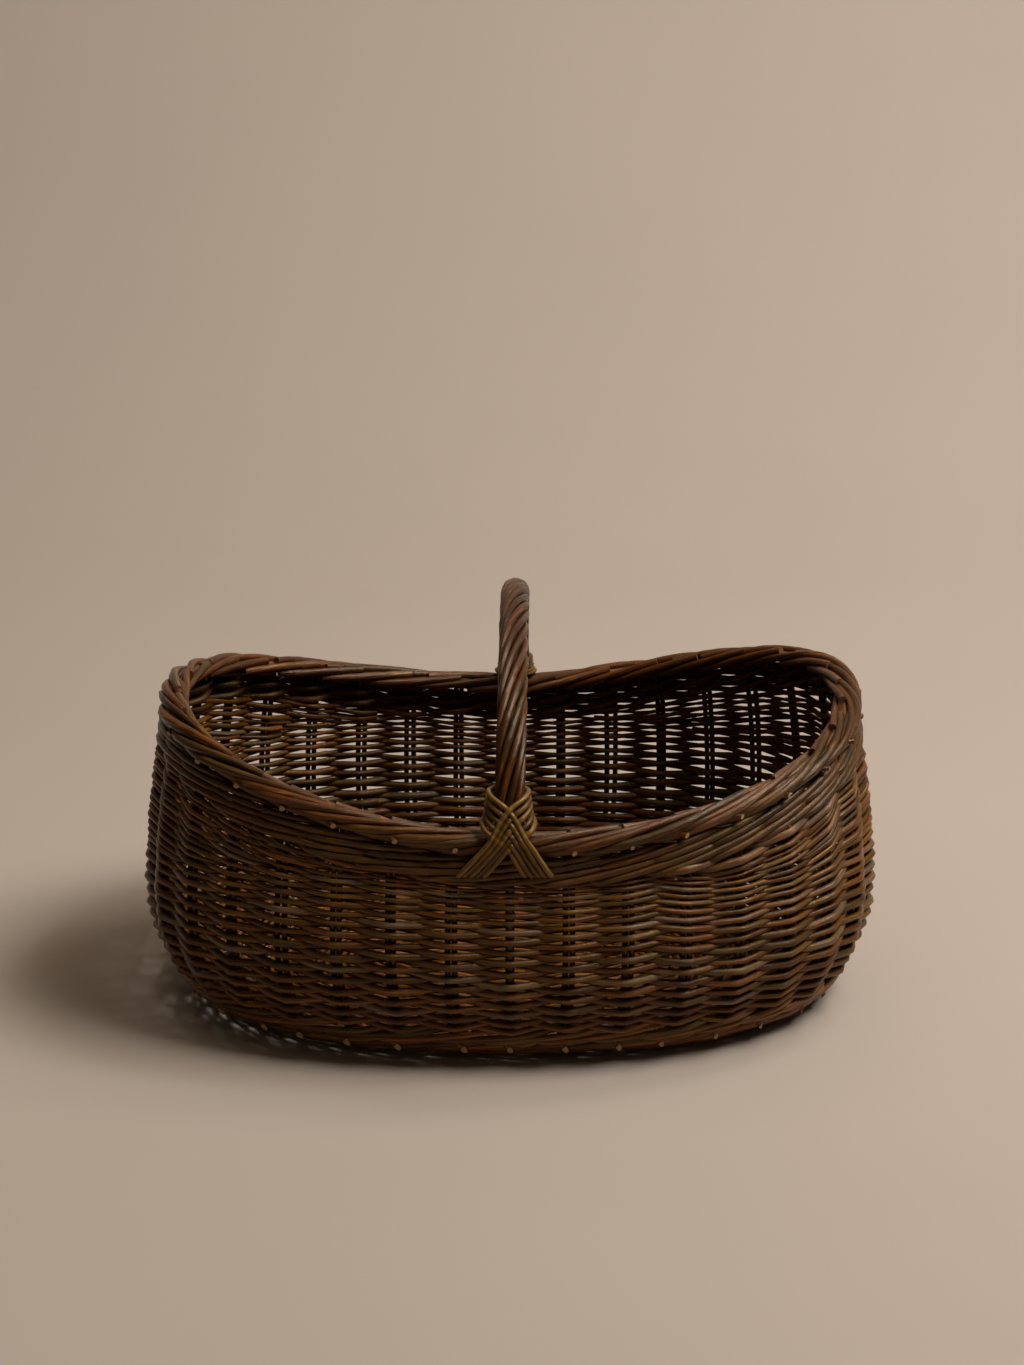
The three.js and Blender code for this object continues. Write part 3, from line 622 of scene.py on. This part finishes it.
first_weavers = Bundle(seed=51)
second_weavers = Bundle(seed=52)
packing = {RIGHT_END: Bundle(seed=53), LEFT_END: Bundle(seed=54)}
for number, row in enumerate(rows):
    if "span" in row:
        bundle = packing[row["end"]]
        spans = [row["span"]]
    else:
        bundle = first_weavers if row["side"] > 0 else second_weavers
        start = bundle.chance.integers(0, UPRIGHTS // 2) * 2 + (0 if row["side"] < 0 else 1)
        join = start + 2 * bundle.chance.integers(*WEAVER_JOINS)
        spans = [(start, join), (join, start + UPRIGHTS)]
    for first, last in spans:
        steps = int((last - first + 2 * WEAVER_OVERLAP) * PER_PLACE)
        place = np.linspace(first - WEAVER_OVERLAP, last + WEAVER_OVERLAP, steps)
        wander = WEAVER_WANDER * np.sin(place * WANDER_TURNS[0] + number)
        wander = wander + WEAVER_WANDER * np.sin(place * WANDER_TURNS[1] + number * WANDER_SHIFT)
        on_ring = np.mod(place, UPRIGHTS)
        run = np.interp(on_ring, places, centres[number])
        room = np.interp(on_ring, places, squeeze) * row["pitch"]
        angle = angle_at(place)
        height = height_up(run + wander)
        _, out = wall_directions(angle, height)
        fill = np.interp(number / len(rows), [0, 1], ROD_OVER_PITCH)
        thickest = GREY_THICKEST if "grey" in row else WEAVER_RODS[1]
        radius = np.clip(room * fill / 2, WEAVER_RODS[0], thickest) * np.linspace(*WEAVER_TAPER, steps)
        radius = radius * bundle.chance.uniform(*WEAVER_SPREAD)
        swing = row["side"] * weave(place) * (STAKE_ROD + radius + WEAVER_GAP)
        looks = GREY_BARK if "grey" in row else {}
        bundle.add(wall(angle, height) + out * swing[:, None], radius, out, **looks)
first_weavers.piece("wall_weave_first_weavers", weaver_willow, "weaver_willow", "chasing_weaver_a")
second_weavers.piece("wall_weave_second_weavers", weaver_willow, "weaver_willow", "chasing_weaver_b")
packing[RIGHT_END].piece("packing_right_end", weaver_willow, "weaver_willow", "packing_right")
packing[LEFT_END].piece("packing_left_end", weaver_willow, "weaver_willow", "packing_left")


# Top wale: two rounds of three-rod wale under the border, which follow its dip.
# The rods are heavier than the weavers and hold the stakes in place for the border.

WALE_ROD = 0.0028
WALE_ROUNDS = 2
WALE_REACH = 0.0048

wale_willow = willow("wale willow", brown=(0.058, 0.019, 0.0022), olive=(0.048, 0.022, 0.0028),
                     grey=(0.054, 0.035, 0.016))
wale = Bundle(seed=61)
wale_pitch = WALE_DEPTH / WALE_ROUNDS
for k in range(WALE_ROUNDS):
    above = (k + 0.5) * wale_pitch
    add_wale(wale, WALE_ROD, lambda angle: run_up(border_bottom(angle) - WALE_DEPTH + above), wale_pitch,
             WALE_REACH)
wale.piece("top_wale_rods", wale_willow, "wale_willow", "top_wale")


# Border: the tops of the stakes, laid down one after the other from the outside over the top to the inside.
# Their ends are trimmed on the inside, and the second rods are cut off under the border on the outside.
# Six rods inside it, which go all round, close the gaps between the strands.

BORDER_WIDTH = 0.025
BORDER_ROD = 0.0035
BORDER_STRANDS = 47
BORDER_STEPS = 44
BORDER_TAPER = [1.1, 0.88]
BORDER_SPREAD = [0.8, 1.15]
BORDER_CUT = 0.2
LAY_PLACES = 3.4
LAY_SPREAD = [0.88, 1.1]
LAY_SHIFT = 0.09
LAY_DEGREES = [-88, 128]
LAY_TURN = 5
LAY_SWAY = 5
LAY_SWAY_WAVES = [1, 2.5]
LAY_DEPTH = 0.0008
TRIMMED_PLACES = 1.9
TRIMMED_SHIFT = 0.08
TRIMMED_DEGREES = [116, 222]
TRIMMED_TURN = 4
TRIMMED_PROUD = 0.0004
TRIMMED_TAPER = [1.0, 0.88]
TRIMMED_STEPS = 26
STUB_ROD = 0.0022
STUB_PLACES = [-0.22, 0.04]
STUB_SHIFT = 0.06
STUB_DEGREES = [-34, -20]
STUB_TURN = 4
STUB_REACHES = [-0.006, 0.0048]
STUB_STEPS = 12
STUB_CUT = 0.8
STUB_SLANT = -0.4
FILLING_RODS = 6
FILLING_ROD = 0.0032
FILLING_DEPTH = 0.0045
FILLING_STEPS = 6


def border_path(place, turn, grow=0.0):
    """A rod that lies in the border, turned round its middle line from the outside over the top."""
    angle = angle_at(place)
    height = rim_height(angle)
    along, _ = wall_directions(angle, height)
    level = unit(np.stack([along[:, 1], -along[:, 0], np.zeros(len(place))], axis=1))
    wide = BORDER_WIDTH / 2 - BORDER_ROD + grow
    tall = BORDER_HEIGHT / 2 - BORDER_ROD + grow
    radial = level * np.cos(turn)[:, None] + UP * np.sin(turn)[:, None]
    offset = level * (wide * np.cos(turn))[:, None] + UP * (tall * np.sin(turn))[:, None]
    return wall(angle, height) + offset, radial


border_willow = willow("border willow", brown=(0.074, 0.020, 0.0019), olive=(0.044, 0.0195, 0.0027),
                       grey=(0.066, 0.044, 0.025), sheen=0.40)
border = Bundle(seed=71)
for strand in range(BORDER_STRANDS):
    first = strand * UPRIGHTS / BORDER_STRANDS + border.chance.normal(0, LAY_SHIFT)
    spots = np.linspace(first, first + LAY_PLACES * border.chance.uniform(*LAY_SPREAD), BORDER_STEPS)
    sway = border.chance.normal(0, LAY_SWAY)
    sway = sway * np.sin(np.linspace(0, math.pi, BORDER_STEPS) * border.chance.uniform(*LAY_SWAY_WAVES))
    turn = np.radians(np.linspace(*LAY_DEGREES, BORDER_STEPS) + border.chance.normal(0, LAY_TURN) + sway)
    path, radial = border_path(spots, turn, LAY_DEPTH * border.chance.normal())
    thick = BORDER_ROD * np.linspace(*BORDER_TAPER, BORDER_STEPS) * border.chance.uniform(*BORDER_SPREAD)
    border.add(path, thick, radial, sides=10, cut=BORDER_CUT)
for place in range(UPRIGHTS):
    first = place + border.chance.normal(0, TRIMMED_SHIFT)
    spots = np.linspace(first, first + TRIMMED_PLACES, TRIMMED_STEPS)
    turn = np.radians(np.linspace(*TRIMMED_DEGREES, TRIMMED_STEPS) + border.chance.normal(0, TRIMMED_TURN))
    path, radial = border_path(spots, turn, TRIMMED_PROUD)
    border.add(path, BORDER_ROD * np.linspace(*TRIMMED_TAPER, TRIMMED_STEPS), radial, cut=BORDER_CUT)
    spots = place + STUB_SHIFT * border.chance.uniform(-1, 1) + np.linspace(*STUB_PLACES, STUB_STEPS)
    turn = np.radians(np.linspace(*STUB_DEGREES, STUB_STEPS) + border.chance.normal(0, STUB_TURN))
    path, radial = border_path(spots, turn)
    path += radial * np.linspace(*STUB_REACHES, STUB_STEPS)[:, None]
    facing = np.cross(radial, unit(np.gradient(path, axis=0)))
    border.add(path, STUB_ROD, facing, cut=STUB_CUT, slant=STUB_SLANT)
for k in range(FILLING_RODS):
    spots = np.linspace(0, UPRIGHTS, UPRIGHTS * FILLING_STEPS + 1)
    turn = np.radians(np.full(len(spots), k * 360 / FILLING_RODS))
    path, radial = border_path(spots, turn, -FILLING_DEPTH)
    border.add(path, FILLING_ROD, radial, sides=6)
border.piece("border_rods", border_willow, "border_willow", "border")


# Handle: a stout rod bent into a bow, its ends shaved and pushed down through the weave, and eight rods
# wound round it from one side of the border to the other.

HANDLE_RISE = 0.1305
HANDLE_FEET = [-0.001, 0.005]
HANDLE_BOWED = 0.0018
BOW_ROD = 0.0052
BOW_START = 0.05
BOW_STEPS = 80
LEG_ROD = 0.0036
LEG_HEIGHTS = [0.026, 0.182]
LEG_STEPS = 30
HANDLE_RODS = 8
HANDLE_NODES = ["handle_rod_%d" % (i + 1) for i in range(HANDLE_RODS)]
HANDLE_ROD = 0.0029
HANDLE_RING = 0.0089
HANDLE_TURNS = 2.5
WOUND_START = 0.045
WOUND_STEPS = 260
WOUND_SHIFT = 0.03
WOUND_SPREAD = [0.96, 1.05]
WOUND_WANDER = 0.00018
WOUND_WAVES = 40
WOUND_WAVE_SHIFT = 2
ARCH_STEPS = 2000
RIGHT = np.array([1.0, 0.0, 0.0])


def arch(turn):
    """The middle of the bow, which stands a little askew, and the direction away from the basket."""
    lean = HANDLE_FEET[0] + (HANDLE_FEET[1] - HANDLE_FEET[0]) * turn / math.pi + HANDLE_BOWED * np.sin(turn)
    point = np.stack([lean, -RIM[1] * np.cos(turn), RIM_HEIGHTS[1] + HANDLE_RISE * np.sin(turn)], axis=-1)
    away = np.stack([np.zeros_like(turn), -HANDLE_RISE * np.cos(turn), RIM[1] * np.sin(turn)], axis=-1)
    return point, unit(away)


handle_willow = willow("handle willow", brown=(0.053, 0.0145, 0.0014), olive=(0.036, 0.015, 0.0019),
                       grey=(0.041, 0.026, 0.012), sheen=0.42)
bow = Bundle(seed=81)
arc, away = arch(np.linspace(BOW_START, math.pi - BOW_START, BOW_STEPS))
leg_heights = np.linspace(*LEG_HEIGHTS, LEG_STEPS)
legs = []
for angle in (FRONT, -FRONT):
    leg_angles = np.full(LEG_STEPS, angle)
    _, out = wall_directions(leg_angles, leg_heights)
    legs.append((wall(leg_angles, leg_heights), out))
path = np.concatenate([legs[0][0], arc, legs[1][0][::-1]])
facing = np.concatenate([legs[0][1], away, legs[1][1][::-1]])
leg_thick = np.full(LEG_STEPS, LEG_ROD)
thick = np.concatenate([leg_thick, np.full(BOW_STEPS, BOW_ROD), leg_thick])
bow.add(path, thick, facing, sides=10)
bow.piece("bow", handle_willow, "handle_willow", "handle_bow")

wound = Bundle(seed=82)
shares = np.linspace(0, 1, WOUND_STEPS)
arch_turns = np.linspace(WOUND_START, math.pi - WOUND_START, ARCH_STEPS)
arch_steps = np.linalg.norm(np.diff(arch(arch_turns)[0], axis=0), axis=1)
arch_runs = np.concatenate([[0.0], np.cumsum(arch_steps)])
arc, away = arch(np.interp(shares, arch_runs / arch_runs[-1], arch_turns))
for rod in range(HANDLE_RODS):
    turn = 2 * math.pi * (rod / HANDLE_RODS - HANDLE_TURNS * shares) + wound.chance.normal(0, WOUND_SHIFT)
    radial = RIGHT * -np.sin(turn)[:, None] + away * np.cos(turn)[:, None]
    ring = HANDLE_RING + WOUND_WANDER * np.sin(shares * WOUND_WAVES + rod * WOUND_WAVE_SHIFT)
    thick = HANDLE_ROD * wound.chance.uniform(*WOUND_SPREAD)
    wound.add(arc + radial * ring[:, None], thick, radial, sides=10)
wound.piece("wound_rods", handle_willow, "handle_willow", *HANDLE_NODES)


# Lashings: thin rods laid five abreast, crossed in front of each foot of the handle and plaited where they
# cross. They run down over the border to the wale, and up round the back of the handle.

LASH_ROD = 0.0021
LASH_SPREAD = [0.94, 1.08]
LASH_RODS = 5
LASH_FEET = [0.0355, 0.0155]
LASH_FOOT_RISE = -0.0215
LASH_CROSSINGS = [0.0265, 0.0025]
LASH_SIDES = [0.0390, 0.0185]
LASH_RINGS = [0.0137, 0.0165]
LASH_LEAN = -0.003
LASH_WRAP = 2.6
LASH_RUN_ON = 0.4
LASH_STEPS = 120
LASH_SMOOTHINGS = 60
LASH_DRAW_POWER = 0.5
LASH_RISES = [-0.022, -0.0185, -0.015, -0.006, 0.006, 0.020]
LASH_OUTS = [0.0085, 0.0112, 0.0124, 0.0140, 0.0140, 0.0120]
LASH_LEAVES_BORDER = 0.004
LASH_PASSAGE = 0.020
LASH_STEEPEST = 0.9
LASH_OVER = 0.0015
LASH_PROUD = 0.0014
FORWARD = np.array([0.0, -1.0, 0.0])


def lash_line(order, drawn):
    """A rod of one leg, laid out flat, across the handle and up. Drawn is how far up it reaches."""
    foot, crossing, side, ring = (ends[0] + (ends[1] - ends[0]) * order / (LASH_RODS - 1)
                                  for ends in (LASH_FEET, LASH_CROSSINGS, LASH_SIDES, LASH_RINGS))
    ring *= drawn ** LASH_DRAW_POWER
    across = [-foot, 0.0, ring * math.pi / 2, ring * LASH_WRAP]
    rise = [LASH_FOOT_RISE, crossing * drawn, side * drawn, (side + LASH_RUN_ON * (side - crossing)) * drawn]
    corners = range(len(across))
    share = np.linspace(0, corners[-1], LASH_STEPS + 1)
    flat = np.stack([np.interp(share, corners, across), np.interp(share, corners, rise)], axis=1)
    for _ in range(LASH_SMOOTHINGS):
        flat[1:-1] = (flat[:-2] + 2 * flat[1:-1] + flat[2:]) / 4
    return flat


def lash_place(flat, raised, drawn):
    """Carries a flat rod onto the wale, the border and the round of the handle."""
    rise = flat[:, 1]
    drawn_rise = rise / drawn
    down = np.clip((LASH_CROSSINGS[1] - rise) / (LASH_CROSSINGS[1] - LASH_FOOT_RISE), 0, 1)
    x = flat[:, 0] + LASH_LEAN * down
    low_out = np.interp(rise, LASH_RISES, LASH_OUTS)
    front = np.stack([x, -RIM[1] - low_out - LASH_ROD, RIM_HEIGHTS[1] + rise], axis=1)
    deep = HANDLE_RING + HANDLE_ROD + LASH_ROD
    wide = np.interp(drawn_rise, LASH_SIDES[::-1], LASH_RINGS[::-1]) * drawn ** LASH_DRAW_POWER
    middle, away = arch(np.arcsin(np.clip(rise / HANDLE_RISE, 0, LASH_STEEPEST)))
    middle[:, 0] = 0
    facing = x / wide
    right = RIGHT * np.sin(facing)[:, None]
    radial = right + away * np.cos(facing)[:, None]
    on_handle = middle + right * wide[:, None] + away * (deep * np.cos(facing))[:, None]
    share = np.clip((drawn_rise - LASH_LEAVES_BORDER) / LASH_PASSAGE, 0, 1)[:, None]
    share = share * share * (3 - 2 * share)
    out = unit(FORWARD * (1 - share) + radial * share)
    return front * (1 - share) + on_handle * share + out * raised[:, None], out


lashing_willow = willow("lashing willow", brown=(0.112, 0.050, 0.0072), olive=(0.095, 0.050, 0.0072),
                        grey=(0.098, 0.060, 0.024))
for name, seed, spin, foot, drawn in (("front_lashing", 91, 1, HANDLE_FEET[0], 1.0),
                                      ("rear_lashing", 92, -1, HANDLE_FEET[1], 0.7)):
    lashing = Bundle(seed)
    lines = {1: [lash_line(order, drawn) for order in range(LASH_RODS)]}
    lines[-1] = [line * [-1, 1] for line in lines[1]]
    for side in (1, -1):
        for i, line in enumerate(lines[side]):
            raised = np.zeros(len(line))
            for j, other in enumerate(lines[-side]):
                gaps = np.linalg.norm(line[:, None, :] - other[None, :, :], axis=2).min(axis=1)
                over = 1 if j > i or (j == i and side > 0) else -1
                raised += over * LASH_OVER * np.exp(-(gaps / LASH_ROD) ** 2)
            path, out = lash_place(line, raised + LASH_PROUD, drawn)
            path = path * [spin, spin, 1] + [foot, 0, 0]
            out = out * [spin, spin, 1]
            lashing.add(path, LASH_ROD * lashing.chance.uniform(*LASH_SPREAD), out)
    lashing.piece(name + "_rods", lashing_willow, "lashing_willow", name)


# Studio: a seamless pale beige paper sweep under and behind the basket, with a broad soft lamp from the
# upper right, a weak one overhead and one for the backdrop.

SWEEP_HALF_WIDTH = 4.0
SWEEP_FRONT = -3.2
SWEEP_BEND = 1.2
SWEEP_RADIUS = 1.4
SWEEP_BACK = 2.6
SWEEP_TOP = 4.0
SWEEP_FIRST_TURN = 0.1
SWEEP_TURNS = 16
PAPER_BEIGE = (0.400, 0.335, 0.283, 1.0)
PAPER_TONES = [0.96, 1.04]
PAPER_SCALE = 2.0
PAPER_DETAIL = 3.0
PAPER_ROUGHNESS = 0.9
ROOM_COLOR = (1.0, 0.81, 0.57, 1.0)
ROOM_STRENGTH = 0.054

profile = [(SWEEP_FRONT, 0.0), (SWEEP_BEND, 0.0)]
profile += [(SWEEP_BEND + SWEEP_RADIUS * math.sin(turn), SWEEP_RADIUS - SWEEP_RADIUS * math.cos(turn))
            for turn in np.linspace(SWEEP_FIRST_TURN, math.pi / 2, SWEEP_TURNS)]
profile += [(SWEEP_BACK, SWEEP_TOP)]
corners = [(x, y, z) for y, z in profile for x in (-SWEEP_HALF_WIDTH, SWEEP_HALF_WIDTH)]
strips = [(2 * i, 2 * i + 1, 2 * i + 3, 2 * i + 2) for i in range(len(profile) - 1)]
sweep = bpy.data.meshes.new("sweep")
sweep.from_pydata(corners, [], strips)
sweep.polygons.foreach_set("use_smooth", [True] * len(strips))
floor = bpy.data.objects.new("sweep", sweep)
bpy.context.scene.collection.objects.link(floor)
floor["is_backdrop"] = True

paper = bpy.data.materials.new("beige paper")
paper.use_nodes = True
tree = paper.node_tree
where = add_node(tree, "ShaderNodeTexCoord")
mottle = add_node(tree, "ShaderNodeTexNoise", {"Vector": where.outputs["Object"], "Scale": PAPER_SCALE,
                                               "Detail": PAPER_DETAIL})
tone = add_node(tree, "ShaderNodeMapRange", {"Value": mottle.outputs["Fac"],
                                             "To Min": PAPER_TONES[0], "To Max": PAPER_TONES[1]}).outputs[0]
tones = add_node(tree, "ShaderNodeCombineColor", {"Red": tone, "Green": tone, "Blue": tone})
beige = mix_colors(tree, 1.0, PAPER_BEIGE, tones.outputs[0], "MULTIPLY")
tree.links.new(beige, tree.nodes["Principled BSDF"].inputs["Base Color"])
tree.nodes["Principled BSDF"].inputs["Roughness"].default_value = PAPER_ROUGHNESS
sweep.materials.append(paper)


def add_lamp(name, size, watts, color, spot, target):
    """A soft square-cornered lamp that hangs at a spot and points at a target."""
    lamp = bpy.data.lights.new(name, "AREA")
    lamp.shape = "RECTANGLE"
    lamp.size, lamp.size_y = size
    lamp.energy = watts
    lamp.color = color
    holder = bpy.data.objects.new(name, lamp)
    bpy.context.scene.collection.objects.link(holder)
    holder.location = spot
    toward = np.array(target) - np.array(spot)
    holder.rotation_euler = (math.atan2(math.hypot(toward[0], toward[1]), -toward[2]),
                             0.0, math.atan2(toward[1], toward[0]) - math.pi / 2)


add_lamp("broad lamp", size=(1.55, 1.55), watts=146.0, color=(1.0, 0.96, 0.90),
         spot=(1.98, -0.55, 3.35), target=(0.0, 0.0, 0.1))
add_lamp("overhead lamp", size=(3.0, 3.0), watts=19.0, color=(1.0, 0.82, 0.60),
         spot=(-0.3, 0.3, 3.6), target=(-0.3, 0.3, 0.0))
add_lamp("backdrop lamp", size=(1.6, 0.8), watts=38.0, color=(1.0, 0.97, 0.94),
         spot=(1.4, 0.7, 2.9), target=(0.3, 2.5, 1.0))
world = bpy.data.worlds.new("studio")
world.use_nodes = True
world.node_tree.nodes["Background"].inputs["Color"].default_value = ROOM_COLOR
world.node_tree.nodes["Background"].inputs["Strength"].default_value = ROOM_STRENGTH
bpy.context.scene.world = world
bpy.context.scene.view_settings.view_transform = "Standard"


# Camera: a long lens, straight in front of the basket and 2.26 m from its middle along the floor.
# It stands nearly a metre high and looks down by about 18 degrees, so that the inside of the back shows.

LENS = 76.48
SENSOR_WIDTH = 36.0
CAMERA_PLACE = (0.0016, -2.2635, 0.9717)
CAMERA_DEGREES = 72.43

view = bpy.data.cameras.new("camera")
view.lens = LENS
view.sensor_width = SENSOR_WIDTH
camera = bpy.data.objects.new("camera", view)
bpy.context.scene.collection.objects.link(camera)
camera.location = CAMERA_PLACE
camera.rotation_euler = (math.radians(CAMERA_DEGREES), 0.0, 0.0)
bpy.context.scene.camera = camera

low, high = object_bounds()
